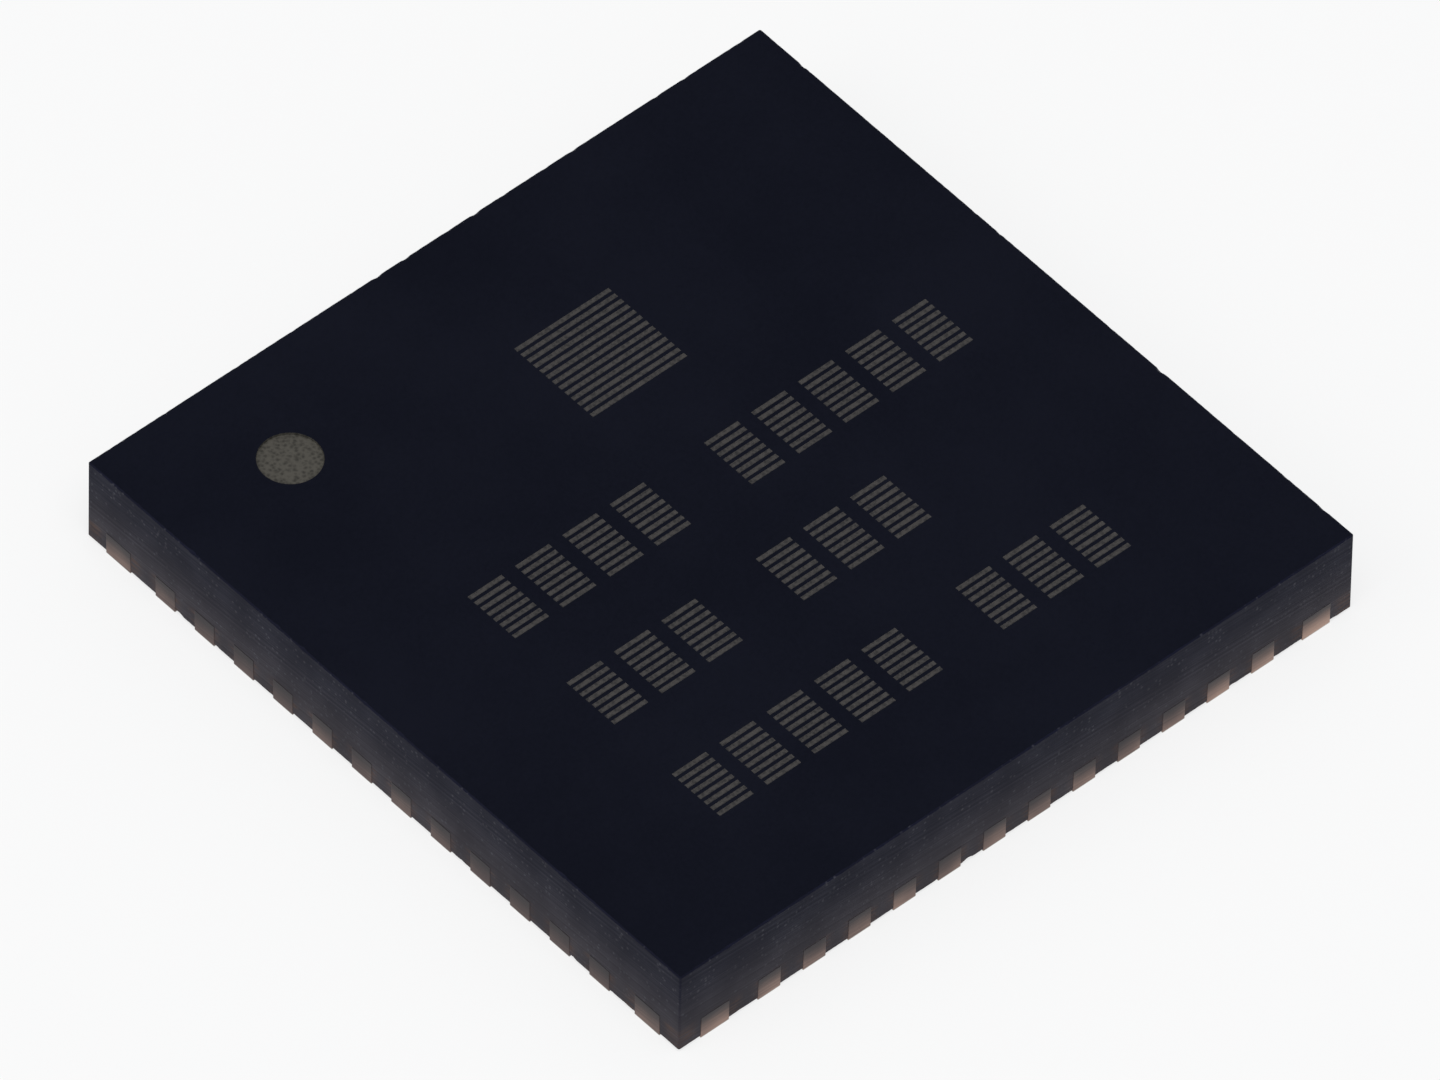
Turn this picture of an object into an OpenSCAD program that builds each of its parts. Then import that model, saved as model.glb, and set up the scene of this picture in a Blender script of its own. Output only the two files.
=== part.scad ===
// Microcontroller in a sawn leadless square package: a moulded block over an etched
// copper lead frame, which carries one silicon die and the wires bonded to it.
// Millimetres, +Z up. The origin is on the solder plane, under the middle of the body.
// +X is the way the marking reads. Terminal 1 is by the -X +Y corner, and the numbers
// run anticlockwise as seen from above.

/* [Package] */
// Width of the square body, from saw cut to saw cut
body_w = 6; // [5.9:0.1:7]
// Height from the solder plane to the top face
package_h = 0.75; // [0.7:0.05:1]
// How far the metal stands below the moulding
standoff = 0.02; // [0.01:0.01:0.05]

/* [Lead frame] */
// Thickness of the copper sheet
frame_t = 0.2; // [0.16:0.01:0.25]
// Depth etched away from below, where the metal stays inside the moulding
etch_depth = 0.1; // [0.06:0.01:0.12]
// Gap that the etching leaves between a tie bar and the fingers beside it
etch_gap = 0.1; // [0.08:0.01:0.12]

/* [Terminals] */
// Terminals along each of the four sides
terminals_per_side = 12; // [8:1:12]
// Distance from one terminal to the next
terminal_pitch = 0.4; // [0.36:0.01:0.41]
// Width of a terminal on the solder plane
terminal_w = 0.2; // [0.16:0.01:0.24]
// Length of a terminal on the solder plane
terminal_len = 0.4; // [0.36:0.01:0.44]
// Reach of the bond finger past the end of the solder face
finger_reach = 0.2; // [0.16:0.01:0.22]
// Flare on each flank of the bond finger, which locks it in the moulding
finger_flare = 0.03; // [0.01:0.01:0.05]
// Straight neck between the saw cut and the flare
neck_len = 0.1; // [0.05:0.01:0.2]

/* [Die pad] */
// Width of the square die pad on the solder plane
pad_w = 4.1; // [3.6:0.1:4.2]
// Radius of the die pad's corners
pad_corner_r = 0.1; // [0.05:0.01:0.2]
// Chamfer on the die pad's corner by terminal 1
pad_chamfer = 0.35; // [0.25:0.05:0.5]
// Width of the half-etched lip round the die pad
pad_lip = 0.1; // [0.05:0.01:0.12]

/* [Tie bars] */
// Width of a tie bar
tie_w = 0.15; // [0.1:0.01:0.18]
// Width of the two legs that a tie bar forks into
leg_w = 0.25; // [0.2:0.01:0.28]
// Distance from a corner of the body to the middle of a leg
leg_inset = 0.32; // [0.3:0.01:0.34]
// Length of a leg's foot on the solder plane
leg_foot_len = 0.15; // [0.1:0.01:0.2]

/* [Die] */
// Width of the square silicon die
die_w = 2.8; // [2.6:0.1:3.2]
// Thickness of the die
die_t = 0.2; // [0.15:0.01:0.22]
// Thickness of the adhesive under the die
attach_t = 0.02; // [0.01:0.005:0.04]
// How far the adhesive spreads past the die
attach_spread = 0.06; // [0.02:0.01:0.1]

/* [Bond wires] */
// Diameter of a wire
wire_d = 0.025; // [0.018:0.001:0.03]
// Diameter of the squashed ball at the die end
ball_d = 0.06; // [0.045:0.005:0.075]
// Height of the squashed ball
ball_h = 0.015; // [0.01:0.005:0.02]
// Radius of the bend above the ball
loop_r = 0.08; // [0.06:0.01:0.1]
// Diameter of the stitch at the finger end
stitch_d = 0.07; // [0.05:0.005:0.08]
// Distance from one bond to the next along the die's edge
bond_pitch = 0.2; // [0.16:0.01:0.21]
// Distance from the die's edge to the middle of a bond
bond_inset = 0.1; // [0.06:0.01:0.14]
// Distance from a finger's tip to the middle of the stitch
stitch_inset = 0.16; // [0.14:0.01:0.2]

/* [Terminal 1 mark] */
// Diameter of the mark
mark_d = 0.46; // [0.3:0.02:0.6]
// Depth of the mark
mark_depth = 0.02; // [0.01:0.005:0.03]
// Distance from the -X side to the middle of the mark
mark_inset_x = 1.05; // [0.7:0.05:1.2]
// Distance from the +Y side to the middle of the mark
mark_inset_y = 0.86; // [0.7:0.02:1.2]

/* [Hidden] */
$fn = 48;
SIDES = 4;
half = body_w / 2;
terminal_count = SIDES * terminals_per_side;
finger_w = terminal_w + 2 * finger_flare;
finger_len = terminal_len + finger_reach;
attach_z = frame_t;
die_z = attach_z + attach_t;
die_top = die_z + die_t;
wire_r = wire_d / 2;
leg_mid = half - leg_inset;
mark_overcut = 0.1;

SIDE_NAMES = ["left", "front", "right", "back"];
function terminal_name(n) = str("terminal_", n < 10 ? "0" : "", n);
function wires_name(side) = str("bond_wires_", SIDE_NAMES[side]);

// Places along a side, counted anticlockwise from its first terminal
function along(i, pitch) = (i - (terminals_per_side - 1) / 2) * pitch;
function side_of(n) = floor((n - 1) / terminals_per_side);
function place_of(n) = (n - 1) % terminals_per_side;

// Each side is drawn as the front one, with its saw cut at -Y, and then turned into place
module on_side(side) {
    rotate([0, 0, 90 * (side - 1)]) children();
}

// Plan of a strip of metal that starts at the saw cut and has a full round inner end
module strip(width, length, start = 0) {
    translate([-width / 2, start - half])
        square([width, length - start - width / 2]);
    translate([0, length - half - width / 2])
        circle(d = width);
}

// A slab with the same plan all the way from one height to another
module slab(from, to) {
    translate([0, 0, from]) linear_extrude(to - from) children();
}

module rounded_square(side, r) {
    square([side - 2 * r, side], center = true);
    square([side, side - 2 * r], center = true);
    for (x = [-1, 1], y = [-1, 1])
        translate([x, y] * (side / 2 - r)) circle(r);
}

// Plan of the diagonal part of a tie bar, in the +X +Y corner
module tie_bar_plan(width) {
    rotate(45) translate([0, -width / 2]) square([leg_mid * sqrt(2), width]);
}

// Plan of one of the two legs, which runs to the saw cut at +Y
module leg_plan(length) {
    translate([leg_mid - leg_w / 2, half - length]) square([leg_w, length]);
}

module both_legs(length) {
    leg_plan(length);
    mirror([1, -1]) leg_plan(length);
}

module tie_bar() {
    slab(etch_depth, frame_t) {
        tie_bar_plan(tie_w);
        both_legs(leg_inset + leg_w / 2);
    }
    slab(0, frame_t) both_legs(leg_foot_len);
}

module pad_plan(grow) {
    side = pad_w + 2 * grow;
    difference() {
        rounded_square(side, pad_corner_r);
        translate([-1, 1] * side / 2)
            rotate(45) square(pad_chamfer * sqrt(2), center = true);
    }
}

// The die pad and the four tie bars that held it in the sheet, all one piece of copper
module die_pad() {
    color("#b9805a") {
        slab(0, frame_t) pad_plan(0);
        slab(etch_depth, frame_t) pad_plan(pad_lip);
        for (corner = [0 : SIDES - 1]) rotate([0, 0, 90 * corner]) tie_bar();
    }
}

module terminal_blank() {
    slab(0, frame_t) strip(terminal_w, terminal_len);
    slab(etch_depth, frame_t) strip(finger_w, finger_len, neck_len);
}

// The outermost fingers are etched back from the tie bars
module terminal(n) {
    place = place_of(n);
    color("#b9805a") on_side(side_of(n)) difference() {
        translate([along(place, terminal_pitch), 0, 0]) terminal_blank();
        if (place == 0 || place == terminals_per_side - 1)
            rotate([0, 0, place == 0 ? 180 : -90])
                slab(etch_depth, frame_t) tie_bar_plan(tie_w + 2 * etch_gap);
    }
}

module die_attach() {
    color("#c4c2bb") slab(attach_z, die_z) square(die_w + 2 * attach_spread, center = true);
}

module die() {
    color("#59616e") slab(die_z, die_top) square(die_w, center = true);
}

function thousandth(angle) = round(angle * 1000) / 1000;

// A wire lies in an upright plane: ball on the die, bend, straight span, stitch on the finger.
// The span is the tangent from the stitch to the bend, so its slope follows from the two ends.
module bond_wire(place) {
    ball = [along(place, bond_pitch), bond_inset - die_w / 2];
    stitch = [along(place, terminal_pitch), finger_len - stitch_inset - half];
    run = norm(stitch - ball);
    heading = atan2(stitch[1] - ball[1], stitch[0] - ball[0]);
    bend_z = die_top + ball_h;
    end_z = frame_t + wire_r;
    reach = run - loop_r;
    drop = bend_z - end_z;
    to_centre = norm([reach, drop]);
    turn = thousandth(180 - acos(loop_r / to_centre) + atan2(drop, reach));
    span = sqrt(to_centre * to_centre - loop_r * loop_r);

    translate([ball[0], ball[1], die_top]) {
        cylinder(h = ball_h, d = ball_d);
        translate([0, 0, ball_h]) rotate([0, 0, heading]) {
            translate([loop_r, 0, 0]) rotate([90, 0, 180])
                rotate_extrude(angle = turn) translate([loop_r, 0]) circle(wire_r);
            translate([loop_r, 0, 0]) rotate([0, turn, 0]) translate([-loop_r, 0, 0])
                cylinder(h = span, d = wire_d);
        }
    }
    translate([stitch[0], stitch[1], frame_t]) cylinder(h = wire_r, d = stitch_d);
}

module bond_wires(side) {
    color("#d8a548") on_side(side)
        for (place = [0 : terminals_per_side - 1]) bond_wire(place);
}

module terminal_1_mark() {
    translate([mark_inset_x - half, half - mark_inset_y, package_h - mark_depth])
        cylinder(h = mark_depth + mark_overcut, d = mark_d);
}

// The moulding fills everything above the standoff that the metal, the die and the wires leave
module mould_body() {
    color("#171a21") difference() {
        slab(standoff, package_h) square(body_w, center = true);
        terminal_1_mark();
        die_pad();
        die_attach();
        die();
        for (n = [1 : terminal_count]) terminal(n);
        for (side = [0 : SIDES - 1]) bond_wires(side);
    }
}

mould_body();
die_pad();
die_attach();
die();
for (side = [0 : SIDES - 1])
    bond_wires(side);
for (n = [1 : terminal_count])
    terminal(n);
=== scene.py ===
import bmesh
import bpy
import math
from mathutils import Matrix, Vector, noise


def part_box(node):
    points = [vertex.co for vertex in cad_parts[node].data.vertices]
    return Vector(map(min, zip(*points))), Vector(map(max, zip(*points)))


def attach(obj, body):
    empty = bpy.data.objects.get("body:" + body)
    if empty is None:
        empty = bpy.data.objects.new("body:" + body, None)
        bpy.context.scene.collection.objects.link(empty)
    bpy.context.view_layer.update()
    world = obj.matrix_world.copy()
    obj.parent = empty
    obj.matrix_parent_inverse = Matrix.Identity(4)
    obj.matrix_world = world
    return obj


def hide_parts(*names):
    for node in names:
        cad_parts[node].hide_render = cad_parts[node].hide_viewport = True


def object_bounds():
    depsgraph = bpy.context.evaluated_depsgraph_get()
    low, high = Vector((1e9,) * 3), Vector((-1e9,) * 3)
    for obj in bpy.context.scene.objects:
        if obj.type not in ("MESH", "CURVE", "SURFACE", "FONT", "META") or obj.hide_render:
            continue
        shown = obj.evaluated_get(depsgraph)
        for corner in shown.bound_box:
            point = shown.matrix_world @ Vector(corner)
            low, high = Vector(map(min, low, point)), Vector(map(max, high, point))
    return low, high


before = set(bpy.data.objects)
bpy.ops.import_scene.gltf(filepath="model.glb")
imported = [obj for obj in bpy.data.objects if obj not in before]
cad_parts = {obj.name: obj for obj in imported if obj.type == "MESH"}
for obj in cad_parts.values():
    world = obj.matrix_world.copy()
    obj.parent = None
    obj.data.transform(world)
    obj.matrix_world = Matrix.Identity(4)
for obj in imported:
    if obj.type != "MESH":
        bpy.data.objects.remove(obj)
cadLow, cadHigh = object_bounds()
mm = 0.001
toMm = Matrix.Scale(1 / mm, 4)  # meshes are shaped in millimetres, then brought back
toMetres = Matrix.Scale(mm, 4)
terminalNames = sorted(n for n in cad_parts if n.startswith("terminal_"))
wireNames = sorted(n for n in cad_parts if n.startswith("bond_wires_"))
metalNames = terminalNames + ["die_pad"]
print("frame loaded,", len(terminalNames), "terminals")


# small helpers

def boxMm(node):
    low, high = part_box(node)
    return low / mm, high / mm


def meshPiece(name, bm, materials):
    mesh = bpy.data.meshes.new(name)
    bm.to_mesh(mesh)
    bm.free()
    piece = bpy.data.objects.new(name, mesh)
    bpy.context.scene.collection.objects.link(piece)
    for material in materials:
        mesh.materials.append(material)
    return piece


def newNode(tree, kind, **settings):
    node = tree.nodes.new(kind)
    for key, value in settings.items():
        setattr(node, key, value)
    return node


def feed(tree, socket, value):
    if isinstance(value, bpy.types.NodeSocket):
        tree.links.new(value, socket)
    else:
        socket.default_value = value


def feedAll(tree, node, values):
    for key, value in values.items():
        feed(tree, node.inputs[key], value)


def mathNode(tree, operation, *values):
    node = newNode(tree, "ShaderNodeMath", operation=operation)
    for socket, value in zip(node.inputs, values):
        feed(tree, socket, value)
    return node.outputs[0]


def weighted(tree, first, second, firstShare, secondShare):
    return mathNode(tree, "ADD", mathNode(tree, "MULTIPLY", first, firstShare),
                    mathNode(tree, "MULTIPLY", second, secondShare))


def ramp(tree, value, low, high, toLow=0.0, toHigh=1.0):
    node = newNode(tree, "ShaderNodeMapRange", interpolation_type="SMOOTHSTEP")
    for socket, setting in zip(node.inputs, (value, low, high, toLow, toHigh)):
        feed(tree, socket, setting)
    return node.outputs[0]


def blendColour(tree, mask, first, second, how="MIX"):
    node = newNode(tree, "ShaderNodeMix", data_type="RGBA", blend_type=how)
    feed(tree, node.inputs["Factor"], mask)
    feed(tree, node.inputs[6], first)   # the colour sockets share their names with other kinds
    feed(tree, node.inputs[7], second)
    return node.outputs[2]


def noiseValue(tree, vector, scale, detail, rough=0.5):
    node = newNode(tree, "ShaderNodeTexNoise")
    feedAll(tree, node, {"Vector": vector, "Scale": scale, "Detail": detail, "Roughness": rough})
    return node.outputs["Fac"]


def newMaterial(name, **constants):
    material = bpy.data.materials.new(name)
    material.use_nodes = True
    tree = material.node_tree
    tree.nodes.clear()
    output = tree.nodes.new("ShaderNodeOutputMaterial")
    shader = tree.nodes.new("ShaderNodeBsdfPrincipled")
    tree.links.new(shader.outputs[0], output.inputs[0])
    for key, value in constants.items():
        shader.inputs[key.replace("_", " ")].default_value = value
    return material, tree, shader


def pointMm(tree):
    coords = tree.nodes.new("ShaderNodeTexCoord")
    inMm = tree.nodes.new("ShaderNodeMapping")  # Object coordinates in millimetres
    feedAll(tree, inMm, {"Vector": coords.outputs["Object"], "Scale": (1 / mm,) * 3})
    return inMm.outputs[0]


def splitXyz(tree, point):
    split = tree.nodes.new("ShaderNodeSeparateXYZ")
    tree.links.new(point, split.inputs[0])
    return split.outputs


def bumpBy(tree, shader, height, micrometres):
    bump = tree.nodes.new("ShaderNodeBump")
    feedAll(tree, bump, {"Distance": micrometres * 1e-6, "Height": height})
    tree.links.new(bump.outputs[0], shader.inputs["Normal"])


def newGroup(name, inputs, outputs):
    group = bpy.data.node_groups.new(name, "ShaderNodeTree")
    for socket, kind in inputs.items():
        group.interface.new_socket(socket, in_out="INPUT", socket_type=kind)
    for socket in outputs:
        group.interface.new_socket(socket, in_out="OUTPUT", socket_type="NodeSocketFloat")
    return group, group.nodes.new("NodeGroupInput").outputs, group.nodes.new("NodeGroupOutput").inputs


def useGroup(tree, group, **values):
    node = newNode(tree, "ShaderNodeGroup", node_tree=group)
    feedAll(tree, node, values)
    return node.outputs


# effects shared by several finishes

def makeSawMarks():
    saw = {
        "tilt": (0.06, 0.06, 1.0),      # the wheel leaves lines a little off level
        "linesPerMm": 42.0, "lineDetail": 4.0, "lineRough": 0.7,
        "patchesPerMm": 3.0, "patchDetail": 2.0, "patchFade": (0.25, 0.75, 0.55, 1.0),
        "dragPerMm": (5.0, 5.0, 55.0), "dragDetail": 3.0,   # drawn out along the wall
    }
    group, into, out = newGroup("sawMarks", {"Vector": "NodeSocketVector"}, ("Streak", "Drag"))
    level = newNode(group, "ShaderNodeVectorMath", operation="DOT_PRODUCT")
    feed(group, level.inputs[0], into["Vector"])
    feed(group, level.inputs[1], saw["tilt"])
    lines = newNode(group, "ShaderNodeTexNoise", noise_dimensions="1D")
    feedAll(group, lines, {"W": level.outputs["Value"], "Scale": saw["linesPerMm"],
                           "Detail": saw["lineDetail"], "Roughness": saw["lineRough"]})
    patches = noiseValue(group, into["Vector"], saw["patchesPerMm"], saw["patchDetail"])
    fade = ramp(group, patches, *saw["patchFade"])
    feed(group, out["Streak"], mathNode(group, "MULTIPLY", lines.outputs["Fac"], fade))
    stretch = group.nodes.new("ShaderNodeMapping")
    feedAll(group, stretch, {"Vector": into["Vector"], "Scale": saw["dragPerMm"]})
    feed(group, out["Drag"], noiseValue(group, stretch.outputs[0], 1.0, saw["dragDetail"]))
    return group


def makeGrain():
    grain = {"detail": 3.0, "rough": 0.6, "cloudsPerMm": 0.9, "cloudDetail": 3.0}
    sockets = {"Vector": "NodeSocketVector", "Scale": "NodeSocketFloat"}
    group, into, out = newGroup("mouldGrain", sockets, ("Grain", "Cloud"))
    fine = noiseValue(group, into["Vector"], into["Scale"], grain["detail"], grain["rough"])
    clouds = noiseValue(group, into["Vector"], grain["cloudsPerMm"], grain["cloudDetail"])
    feed(group, out["Grain"], fine)
    feed(group, out["Cloud"], clouds)
    return group


sawMarks = makeSawMarks()
mouldGrain = makeGrain()
noiseSpan = (0.3, 0.7)  # where most values of a noise lie


# finishes: rough and the other spans are what ramp takes, bump is in micrometres

def mottled(tree, grain, share, dark, pale):
    tone = weighted(tree, grain["Grain"], grain["Cloud"], share, 1 - share)
    return tone, blendColour(tree, ramp(tree, tone, *noiseSpan), dark, pale)


def wallSides(tree, x, y):
    absX, absY = (mathNode(tree, "ABSOLUTE", place) for place in (x, y))
    return absX, absY, mathNode(tree, "GREATER_THAN", absY, absX)  # the last is 1 on the front and back


def mouldTopFinish():
    look = {"dark": (0.0028, 0.0036, 0.0090, 1), "pale": (0.0052, 0.0062, 0.0130, 1), "grainPerMm": 38.0,
            "grainShare": 0.45, "rough": (0.25, 0.75, 0.56, 0.72), "bump": 1.6}
    material, tree, shader = newMaterial("mouldTop", Specular_IOR_Level=0.06)
    grain = useGroup(tree, mouldGrain, Vector=pointMm(tree), Scale=look["grainPerMm"])
    colour = mottled(tree, grain, look["grainShare"], look["dark"], look["pale"])[1]
    feed(tree, shader.inputs["Base Color"], colour)
    feed(tree, shader.inputs["Roughness"], ramp(tree, grain["Grain"], *look["rough"]))
    bumpBy(tree, shader, grain["Grain"], look["bump"])
    return material


def mouldBaseFinish():
    look = {"dark": (0.0075, 0.0080, 0.0105, 1), "pale": (0.0150, 0.0155, 0.0185, 1), "grainPerMm": 26.0,
            "grainShare": 0.3, "rough": noiseSpan + (0.42, 0.6), "bump": 0.8}
    material, tree, shader = newMaterial("mouldBase", Specular_IOR_Level=0.2)
    grain = useGroup(tree, mouldGrain, Vector=pointMm(tree), Scale=look["grainPerMm"])
    tone, colour = mottled(tree, grain, look["grainShare"], look["dark"], look["pale"])
    feed(tree, shader.inputs["Base Color"], colour)
    feed(tree, shader.inputs["Roughness"], ramp(tree, tone, *look["rough"]))
    bumpBy(tree, shader, grain["Grain"], look["bump"])
    return material


def sawnMouldFinish():
    look = {
        "high": (0.0028, 0.0038, 0.0160, 1), "low": (0.046, 0.041, 0.050, 1),   # top and foot of the wall; the lighter foot is partly the sawn compound's own tone, partly painted floor bounce and glare
        "fall": (0.73, 0.05), "waver": 0.1,     # heights that the change lies between, in mm
        "filler": (0.065, 0.065, 0.08, 1), "fillerPerMm": 30.0,     # grains cut through by the saw
        "fillerCore": (0.42, 0.22), "fillerPick": (0.55, 1.0, 0.0, 0.5),
        "smear": (0.09, 0.055, 0.045, 1),       # copper drawn over the wall beside a terminal
        "smearReach": (0.19, 0.09), "smearTop": (0.23, 0.16), "smearDrag": (0.35, 0.75, 0.0, 0.9),
        "shadeDark": (0.75, 0.75, 0.75, 1), "shadePale": (1.2, 1.2, 1.2, 1), "shade": (0.15, 0.75),
        "rough": (0.1, 0.8, 0.72, 0.5), "fillerBump": 0.5, "bump": 1.6,
    }
    material, tree, shader = newMaterial("sawnMould", Specular_IOR_Level=0.15)
    point = pointMm(tree)
    saw = useGroup(tree, sawMarks, Vector=point)
    x, y, z = splitXyz(tree, point)
    height = weighted(tree, z, saw["Drag"], 1.0, look["waver"])
    # the wall lightens towards its foot: partly the compound's own sawn tone, partly painted floor bounce
    # and glare
    colour = blendColour(tree, ramp(tree, height, *look["fall"]), look["high"], look["low"])

    cells = tree.nodes.new("ShaderNodeTexVoronoi")
    feedAll(tree, cells, {"Vector": point, "Scale": look["fillerPerMm"]})
    tint = tree.nodes.new("ShaderNodeSeparateColor")
    tree.links.new(cells.outputs["Color"], tint.inputs[0])
    grains = mathNode(tree, "MULTIPLY", ramp(tree, cells.outputs["Distance"], *look["fillerCore"]),
                      ramp(tree, tint.outputs[0], *look["fillerPick"]))
    colour = blendColour(tree, grains, colour, look["filler"])

    frontOrBack = wallSides(tree, x, y)[2]
    along = newNode(tree, "ShaderNodeMix", data_type="FLOAT")   # the place along this wall
    for socket, value in zip((along.inputs[0], along.inputs[2], along.inputs[3]), (frontOrBack, y, x)):
        tree.links.new(value, socket)
    pitch = (boxMm("terminal_06")[0] - boxMm("terminal_05")[0]).length
    away = mathNode(tree, "PINGPONG", mathNode(tree, "SUBTRACT", along.outputs[0], pitch / 2), pitch / 2)
    smear = mathNode(tree, "MULTIPLY", ramp(tree, away, *look["smearReach"]),
                     ramp(tree, z, *look["smearTop"]))
    smear = mathNode(tree, "MULTIPLY", smear, ramp(tree, saw["Drag"], *look["smearDrag"]))
    colour = blendColour(tree, smear, colour, look["smear"])

    streaks = ramp(tree, saw["Streak"], *look["shade"])
    shade = blendColour(tree, streaks, look["shadeDark"], look["shadePale"])
    feed(tree, shader.inputs["Base Color"], blendColour(tree, 1.0, colour, shade, "MULTIPLY"))
    feed(tree, shader.inputs["Roughness"], ramp(tree, saw["Streak"], *look["rough"]))
    bumpBy(tree, shader, weighted(tree, saw["Streak"], grains, 1.0, look["fillerBump"]), look["bump"])
    return material


def laserFinish(name, dark, pale):
    look = {"grainPerMm": 55.0, "shotsPerMm": 34.0, "shares": (0.6, 0.55), "span": (0.3, 0.75),
            "rough": noiseSpan + (0.7, 0.9), "bump": 3.0}
    material, tree, shader = newMaterial(name, Specular_IOR_Level=0.25)
    point = pointMm(tree)
    grain = useGroup(tree, mouldGrain, Vector=point, Scale=look["grainPerMm"])["Grain"]
    shots = tree.nodes.new("ShaderNodeTexVoronoi")  # pits left by single laser shots
    feedAll(tree, shots, {"Vector": point, "Scale": look["shotsPerMm"]})
    tone = weighted(tree, grain, shots.outputs["Distance"], *look["shares"])
    feed(tree, shader.inputs["Base Color"], blendColour(tree, ramp(tree, tone, *look["span"]), dark, pale))
    feed(tree, shader.inputs["Roughness"], ramp(tree, grain, *look["rough"]))
    bumpBy(tree, shader, tone, look["bump"])
    return material


def leadFrameFinish():
    look = {
        "copperDark": (0.110, 0.080, 0.078, 1), "copperPale": (0.431, 0.288, 0.230, 1),
        "patchesPerMm": 2.3, "patchDetail": 1.0,
        "shares": (0.4, 0.45), "copperSpan": (0.28, 0.9),   # of saw lines and patches
        "paintedHighlight": (1.4, 1.9, 0.14, 0.34),    # painted highlight: copper ends on the front and back walls brighter towards +x
        "corner": (2.35, 2.6, 0.0, 0.10),   # copper ends by the corners are brighter
        "veil": (0.045, 0.041, 0.045, 1),   # mould drawn over the sawn ends
        "veilRise": (0.02, 0.235), "waver": 0.06, "veilDepth": 0.01,    # mm
        "tinDark": (0.47, 0.46, 0.44, 1), "tinPale": (0.66, 0.65, 0.62, 1),
        "grainPerMm": 24.0, "grainShare": 0.45, "plated": (0.012, 0.004),   # tin on the solder faces only
        "rough": (0.2, 0.9, 0.52, 0.34), "grainBump": 0.5, "bump": 1.2,
    }
    material, tree, shader = newMaterial("leadFrame", Metallic=1.0)
    point = pointMm(tree)
    saw = useGroup(tree, sawMarks, Vector=point)
    grain = useGroup(tree, mouldGrain, Vector=point, Scale=look["grainPerMm"])
    x, y, z = splitXyz(tree, point)
    absX, absY, frontOrBack = wallSides(tree, x, y)
    # painted highlight on the front and back walls' copper, added to the brighter ends by the corners
    paintedHighlightAndBrightCorners = mathNode(tree, "ADD", mathNode(tree, "MULTIPLY", frontOrBack, ramp(tree, x, *look["paintedHighlight"])),
                     ramp(tree, mathNode(tree, "MINIMUM", absX, absY), *look["corner"]))
    patches = noiseValue(tree, point, look["patchesPerMm"], look["patchDetail"])
    tone = mathNode(tree, "ADD", weighted(tree, saw["Streak"], patches, *look["shares"]), paintedHighlightAndBrightCorners)
    bright = ramp(tree, tone, *look["copperSpan"])
    copper = blendColour(tree, bright, look["copperDark"], look["copperPale"])

    height = weighted(tree, z, saw["Drag"], 1.0, look["waver"])
    sawn = mathNode(tree, "GREATER_THAN", mathNode(tree, "MAXIMUM", absX, absY),
                    cadHigh.x / mm - look["veilDepth"])
    veil = mathNode(tree, "MULTIPLY", sawn, ramp(tree, height, *look["veilRise"]))
    copper = blendColour(tree, veil, copper, look["veil"])

    tin = mottled(tree, grain, look["grainShare"], look["tinDark"], look["tinPale"])[1]
    feed(tree, shader.inputs["Base Color"], blendColour(tree, ramp(tree, z, *look["plated"]), copper, tin))
    feed(tree, shader.inputs["Roughness"], ramp(tree, tone, *look["rough"]))
    relief = weighted(tree, saw["Streak"], grain["Grain"], 1.0, look["grainBump"])
    bumpBy(tree, shader, relief, look["bump"])
    return material


def siliconFinish():
    look = {
        "rows": (0.05, 0.055, 0.075, 1), "blocks": (0.15, 0.135, 0.16, 1), "gaps": (0.03, 0.03, 0.035, 1),
        "plan": {"Scale": 1.6, "Mortar Size": 0.012, "Brick Width": 0.9, "Row Height": 0.5},
        "stagger": {"offset": 0.37, "squash": 0.6, "squash_frequency": 3},
        "grainPerMm": 60.0, "dust": (0.4, 0.7, 0.0, 0.35), "rough": noiseSpan + (0.16, 0.28),
    }
    material, tree, shader = newMaterial("siliconDie", Metallic=0.4)
    point = pointMm(tree)
    circuits = newNode(tree, "ShaderNodeTexBrick", **look["stagger"])
    feedAll(tree, circuits, {"Vector": point, "Color1": look["rows"], "Color2": look["blocks"],
                             "Mortar": look["gaps"], **look["plan"]})
    grain = useGroup(tree, mouldGrain, Vector=point, Scale=look["grainPerMm"])
    dust = ramp(tree, grain["Grain"], *look["dust"])
    colour = blendColour(tree, dust, circuits.outputs["Color"], look["rows"])
    feed(tree, shader.inputs["Base Color"], colour)
    feed(tree, shader.inputs["Roughness"], ramp(tree, grain["Cloud"], *look["rough"]))
    return material


def grainedMetal(name, look):
    material, tree, shader = newMaterial(name, Metallic=look["metallic"])
    grain = useGroup(tree, mouldGrain, Vector=pointMm(tree), Scale=look["grainPerMm"])["Grain"]
    colour = blendColour(tree, ramp(tree, grain, *noiseSpan), look["dark"], look["pale"])
    feed(tree, shader.inputs["Base Color"], colour)
    feed(tree, shader.inputs["Roughness"], ramp(tree, grain, *look["rough"]))
    if "bump" in look:
        bumpBy(tree, shader, grain, look["bump"])
    return material


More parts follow.
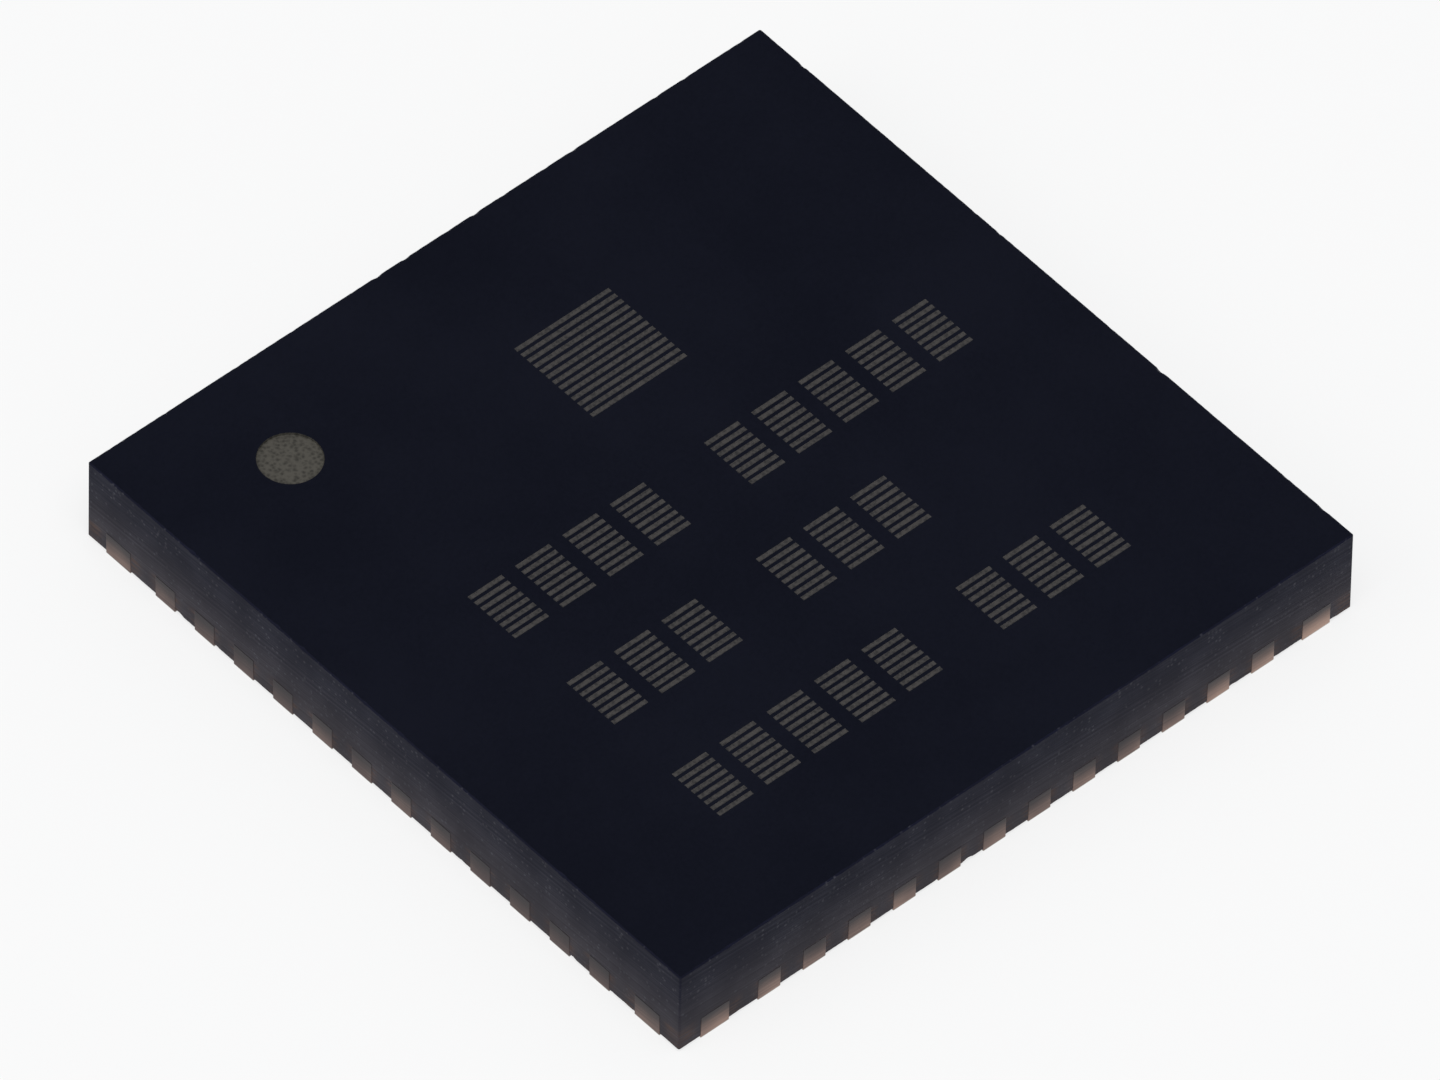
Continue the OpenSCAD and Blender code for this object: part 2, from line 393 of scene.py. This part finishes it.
mouldTop = mouldTopFinish()
sawnMould = sawnMouldFinish()
laserLine = laserFinish("laserLine", (0.026, 0.025, 0.026, 1), (0.058, 0.054, 0.052, 1))
cornerMark = laserFinish("cornerMark", (0.033, 0.031, 0.026, 1), (0.076, 0.071, 0.060, 1))
leadFrame = leadFrameFinish()
mouldBase = mouldBaseFinish()
silicon = siliconFinish()
silverPaste = grainedMetal("silverPaste", {
    "metallic": 0.6, "dark": (0.34, 0.33, 0.30, 1), "pale": (0.66, 0.65, 0.61, 1),
    "grainPerMm": 45.0, "rough": noiseSpan + (0.45, 0.7), "bump": 2.0})
bondWire = grainedMetal("bondWire", {
    "metallic": 1.0, "dark": (0.62, 0.38, 0.12, 1), "pale": (0.90, 0.66, 0.28, 1),
    "grainPerMm": 30.0, "rough": noiseSpan + (0.2, 0.34)})
print("finishes ready")


# metal: each terminal and the die pad, with the burr taken off their edges

metal = {
    "edgeBreak": 0.004, "weld": 0.0002,     # mm
    "sharp": math.radians(30), "flat": math.radians(1),
}


def cadBmesh(*nodes):
    bm = bmesh.new()
    for node in nodes:
        bm.from_mesh(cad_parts[node].data)
    bmesh.ops.transform(bm, matrix=toMm, verts=bm.verts)
    bmesh.ops.remove_doubles(bm, verts=bm.verts, dist=metal["weld"])
    bmesh.ops.dissolve_limit(bm, angle_limit=metal["flat"], verts=bm.verts, edges=bm.edges)
    return bm


def makeMetal(node):
    bm = cadBmesh(node)
    hard = [e for e in bm.edges if e.calc_face_angle(0) > metal["sharp"]]
    bmesh.ops.bevel(bm, geom=hard, offset=metal["edgeBreak"], segments=2, profile=0.5,
                    affect="EDGES", material=-1, clamp_overlap=True)
    bmesh.ops.transform(bm, matrix=toMetres, verts=bm.verts)
    piece = meshPiece("sawn_" + node, bm, [leadFrame])
    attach(piece, "root")
    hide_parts(node)


for name in metalNames:
    makeMetal(name)
print("metal dressed")


# moulded block, in millimetres until its slivers are welded

block = {
    "wallBack": 0.003,      # the sawn copper stands proud of the wall by this
    "cornerRound": 0.014, "rim": 0.009, "foot": 0.003,     # corner, top edge and lower edge
    "steps": 312,           # points along a side, so that the edge can chip, none at a terminal's flank
    "chip": 0.034, "chipsPerMm": 8.0, "chipFrom": 0.3,      # deep chips, only where the noise is high
    "tear": 0.005, "tearsPerMm": 40,
    "whole": 0.03, "fadePerMm": 10,     # no chips this close to a corner, and how fast they then set in
    "weld": 0.0005, "snap": 0.001,
    "quarters": (-2.5, -1.2, 0.0, 1.2, 2.5),    # cuts that keep the flat faces well shaped
}
mark = {
    "depth": 0.006, "flank": 0.009, "lineW": 0.036, "linePitch": 0.064,     # raster left by the laser
    "cell": (0.30, 8), "cellPitch": 0.42,   # width and lines of one plain cell
    "rows": [(-1.86, 0.20, "1111 11111"), (-1.86, -0.80, "111 111"), (-1.86, -1.86, "11111 111")],
    "field": (-0.17, 0.67, 1.50, 13),       # left, right, middle and lines of the plain square
}
topSlot, wallSlot, laserSlot, baseSlot = range(4)   # the block's materials, in this order
alongX = Vector((1, 0, 0))
alongY = Vector((0, 1, 0))


def chipDepth(p):
    fromCorner = cadHigh.x / mm - min(abs(p.x), abs(p.y))
    worn = max(0.0, noise.noise(p * block["chipsPerMm"]) - block["chipFrom"])
    torn = block["chip"] * worn + block["tear"] * abs(noise.noise(p * block["tearsPerMm"]))
    return torn * min(1.0, max(0.0, fromCorner - block["whole"]) * block["fadePerMm"])


def breakEdge(bm, face, upOrDown, width):
    strip = bmesh.ops.inset_region(bm, faces=[face], thickness=width, use_even_offset=True)["faces"]
    inner = set(face.verts)
    for v in {v for f in strip for v in f.verts} - inner:   # torn a little by the saw
        v.co.z -= upOrDown * (width + chipDepth(v.co))
    for v in inner:
        axis = 0 if abs(v.co.x) > abs(v.co.y) else 1
        v.co[axis] -= math.copysign(chipDepth(v.co), v.co[axis])
    bmesh.ops.triangulate(bm, faces=strip)  # the torn strip isn't flat


def scoreFace(bm, slot, normal, place):
    skin = [f for f in bm.faces if f.material_index == slot]
    skin += list({e for f in skin for e in f.edges}) + list({v for f in skin for v in f.verts})
    bmesh.ops.bisect_plane(bm, geom=skin, dist=block["snap"], plane_co=normal * place, plane_no=normal)


def blockBmesh():
    low, high = boxMm("mould_body")
    half = high.x - block["wallBack"]
    bm = bmesh.new()
    onTop = Matrix.Translation((0, 0, high.z))
    bmesh.ops.create_grid(bm, x_segments=1, y_segments=1, size=half, matrix=onTop)
    bmesh.ops.bevel(bm, geom=bm.verts[:], offset=block["cornerRound"], segments=3, profile=0.5,
                    affect="VERTICES", material=-1)
    longSides = [e for e in bm.edges if e.calc_length() > half]
    bmesh.ops.bisect_edges(bm, edges=longSides, cuts=block["steps"])
    walls = bmesh.ops.extrude_face_region(bm, geom=bm.faces[:])
    lowered = [v for v in walls["geom"] if isinstance(v, bmesh.types.BMVert)]
    bmesh.ops.translate(bm, verts=lowered, vec=(0, 0, low.z - high.z))
    bmesh.ops.recalc_face_normals(bm, faces=bm.faces)
    for face in bm.faces:
        face.material_index = wallSlot
    for slot, upOrDown, width in ((topSlot, 1, block["rim"]), (baseSlot, -1, block["foot"])):
        face = max(bm.faces, key=lambda f: f.normal.z * upOrDown)
        breakEdge(bm, face, upOrDown, width)
        face.material_index = slot
        for place in block["quarters"]:
            scoreFace(bm, slot, alongX, place)
            scoreFace(bm, slot, alongY, place)
    engrave(bm)
    return bm


def laserLines():
    blocks = []
    for left, middle, cells in mark["rows"]:
        width, lines = mark["cell"]
        starts = [left + n * mark["cellPitch"] for n, cell in enumerate(cells) if cell == "1"]
        blocks += [(start, start + width, middle, lines) for start in starts]
    blocks.append(mark["field"])
    for left, right, middle, lines in blocks:
        for n in range(lines):
            y = middle + (n - (lines - 1) / 2) * mark["linePitch"]
            yield left, right, y - mark["lineW"] / 2, y + mark["lineW"] / 2


def engrave(bm):
    lines = list(laserLines())
    # places are rounded, so that lines in one row share their cuts
    cuts = [(alongX, place) for place in {round(x, 4) for line in lines for x in line[:2]}]
    cuts += [(alongY, place) for place in {round(y, 4) for line in lines for y in line[2:]}]
    for normal, place in cuts:
        scoreFace(bm, topSlot, normal, place)
    burnt = []
    for face in bm.faces:
        at = face.calc_center_median()
        if face.material_index == topSlot and any(a < at.x < b and c < at.y < d for a, b, c, d in lines):
            burnt.append(face)
    bm.normal_update()
    flanks = bmesh.ops.inset_region(bm, faces=burnt, use_boundary=True, use_even_offset=True,
                                    thickness=mark["flank"], depth=-mark["depth"])["faces"]
    for face in burnt + flanks:
        face.material_index = laserSlot


def dotBmesh():
    dot = {"x": -1.95, "y": 2.14, "across": 0.46, "depth": 0.02,     # as in the CAD
           "overcut": 0.1, "sides": 64}
    top = boxMm("mould_body")[1].z
    tall = dot["overcut"] + dot["depth"]
    place = Matrix.Translation((dot["x"], dot["y"], top - dot["depth"] + tall / 2))
    bm = bmesh.new()
    bmesh.ops.create_cone(bm, cap_ends=True, segments=dot["sides"], radius1=dot["across"] / 2,
                          radius2=dot["across"] / 2, depth=tall, matrix=place)
    return bm


def carve(piece, bm, material):
    tool = meshPiece("carver", bm, [material])
    cut = piece.modifiers.new("carve", "BOOLEAN")
    cut.operation = "DIFFERENCE"
    cut.solver = "EXACT"
    cut.material_mode = "TRANSFER"
    cut.object = tool
    view = bpy.context.evaluated_depsgraph_get()
    carved = bpy.data.meshes.new_from_object(piece.evaluated_get(view))
    piece.modifiers.clear()
    piece.data = carved
    bpy.data.objects.remove(tool)


def weldSlivers(piece):
    bm = bmesh.new()
    bm.from_mesh(piece.data)
    bmesh.ops.remove_doubles(bm, verts=bm.verts, dist=block["weld"])
    bmesh.ops.dissolve_degenerate(bm, dist=block["weld"], edges=bm.edges)
    bmesh.ops.transform(bm, matrix=toMetres, verts=bm.verts)
    bm.to_mesh(piece.data)
    bm.free()


moulding = meshPiece("moulded_block", blockBmesh(), [mouldTop, sawnMould, laserLine, mouldBase])
carve(moulding, dotBmesh(), cornerMark)
for nodes in (metalNames, ["die_attach"], ["die"]):     # pockets for the copper, the paste and the die
    carve(moulding, cadBmesh(*nodes), mouldBase)
weldSlivers(moulding)
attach(moulding, "root")
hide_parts("mould_body")
print("moulded block", len(moulding.data.polygons), "faces")


# sealed inside: die, paste and wires keep their CAD form

def dressNode(node, material):
    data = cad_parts[node].data
    data.materials.clear()
    data.materials.append(material)


dressNode("die", silicon)
dressNode("die_attach", silverPaste)
for name in wireNames:
    dressNode(name, bondWire)
print("die, paste and wires dressed")


# stage, light and camera

def paleFloor():
    floor = {
        "size": 0.6, "below": 2e-6,     # metres
        "colour": (0.86, 0.86, 0.86, 1),
        "backdrop": 0.74,               # share of plain white where it is seen or mirrored
    }
    bm = bmesh.new()
    bmesh.ops.create_grid(bm, x_segments=1, y_segments=1, size=floor["size"] / 2,
                          matrix=Matrix.Translation((0, 0, -floor["below"])))
    material, tree, shader = newMaterial(
        "paleFloor", Base_Color=floor["colour"], Roughness=0.9, Specular_IOR_Level=0.1)
    light = tree.nodes.new("ShaderNodeEmission")
    path = tree.nodes.new("ShaderNodeLightPath")
    seen = mathNode(tree, "MAXIMUM", path.outputs["Is Camera Ray"], path.outputs["Is Glossy Ray"])
    both = tree.nodes.new("ShaderNodeMixShader")
    sockets = (mathNode(tree, "MULTIPLY", seen, floor["backdrop"]), shader.outputs[0], light.outputs[0])
    for source, socket in zip(sockets, both.inputs):
        tree.links.new(source, socket)
    tree.links.new(both.outputs[0], tree.nodes["Material Output"].inputs[0])
    meshPiece("floor", bm, [material])


def outwards(azimuth, elevation):
    return Vector((math.sin(azimuth) * math.cos(elevation), -math.cos(azimuth) * math.cos(elevation),
                   math.sin(elevation)))


def softLight(name, azimuth, elevation, distance, size, power, colour):
    data = bpy.data.lights.new(name, "AREA")
    data.shape = "DISK"
    data.size = size
    data.energy = power
    data.color = colour
    lamp = bpy.data.objects.new(name, data)
    bpy.context.scene.collection.objects.link(lamp)
    out = outwards(math.radians(azimuth), math.radians(elevation))
    lamp.location = out * distance
    lamp.rotation_euler = (-out).to_track_quat("-Z", "Y").to_euler()


def studio():
    sky = {"Color": (0.95, 0.97, 1.0, 1), "Strength": 0.42}
    lamps = {   # azimuth and elevation in degrees, distance and size in metres, watts, colour
        "overhead": (-35, 72, 0.30, 0.24, 0.50, (1, 1, 1)),
        "fill": (-100, 38, 0.35, 0.25, 0.20, (1.0, 0.98, 0.96)),
    }
    world = bpy.data.worlds.new("studio")
    bpy.context.scene.world = world
    world.use_nodes = True
    feedAll(world.node_tree, world.node_tree.nodes["Background"], sky)
    for name, lamp in lamps.items():
        softLight(name, *lamp)


def camera():
    shot = {    # degrees, millimetres, and pixels of the whole frame
        "azimuth": -42.372, "elevation": 48.723, "roll": 1.300, "distance": 250.0,
        "pxPerMm": 149.35, "originPx": (718.99, 572.10), "framePx": (1440, 1080),
        "sensor": 36.0, "clip": (0.02, 2.0),    # the clip is in metres
    }
    azimuth, elevation, roll = (math.radians(shot[k]) for k in ("azimuth", "elevation", "roll"))
    ahead = -outwards(azimuth, elevation)
    level = Vector((math.cos(azimuth), math.sin(azimuth), 0))
    rise = level.cross(ahead)
    right = math.cos(roll) * level + math.sin(roll) * rise
    up = math.cos(roll) * rise - math.sin(roll) * level
    slideX, slideY = ((origin - size / 2) / shot["pxPerMm"]
                      for origin, size in zip(shot["originPx"], shot["framePx"]))
    place = -ahead * shot["distance"] - right * slideX + up * slideY
    data = bpy.data.cameras.new("camera")
    data.sensor_width = shot["sensor"]
    data.lens = shot["pxPerMm"] * shot["distance"] * shot["sensor"] / shot["framePx"][0]
    data.clip_start, data.clip_end = shot["clip"]
    eye = bpy.data.objects.new("camera", data)
    bpy.context.scene.collection.objects.link(eye)
    turn = Matrix((right, up, -ahead)).transposed()
    eye.matrix_world = Matrix.Translation(place * mm) @ turn.to_4x4()
    bpy.context.scene.camera = eye


paleFloor()
studio()
camera()
bpy.context.scene.view_settings.view_transform = "Standard"
print("stage ready")
